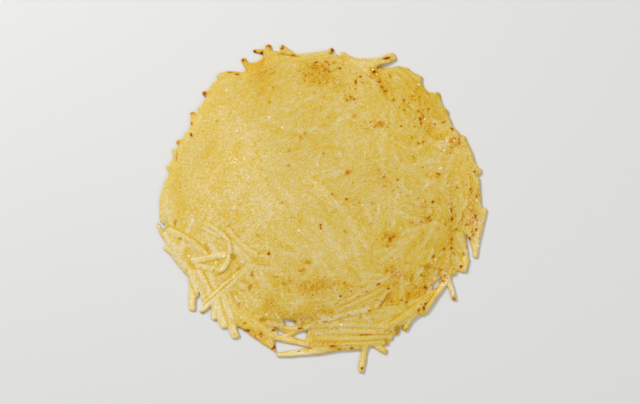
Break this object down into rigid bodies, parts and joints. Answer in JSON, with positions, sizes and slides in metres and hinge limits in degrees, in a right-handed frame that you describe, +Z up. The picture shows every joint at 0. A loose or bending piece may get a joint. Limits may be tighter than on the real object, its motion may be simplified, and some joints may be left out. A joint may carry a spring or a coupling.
{
  "type": "potato rosti",
  "caption": "Round flat cake of coarsely grated potato, pressed and pan-fried to a pale gold, with a ragged rim of single shreds.",
  "frame": {"origin": "middle of the cake's outline box, on the flat underside it rests on", "axes": "+Z up through the cake's thickness, +X to the right and +Y to the back as it is seen from above"},
  "size_m": [0.2416, 0.2427, 0.0102],
  "materials": {
    "fried_potato": "pan-fried grated potato: pale gold, slightly see-through, with an uneven thin film of oil and small browned flecks"
  },
  "bodies": {
    "root": {"rosti": "fried_potato"}
  },
  "joints": []
}
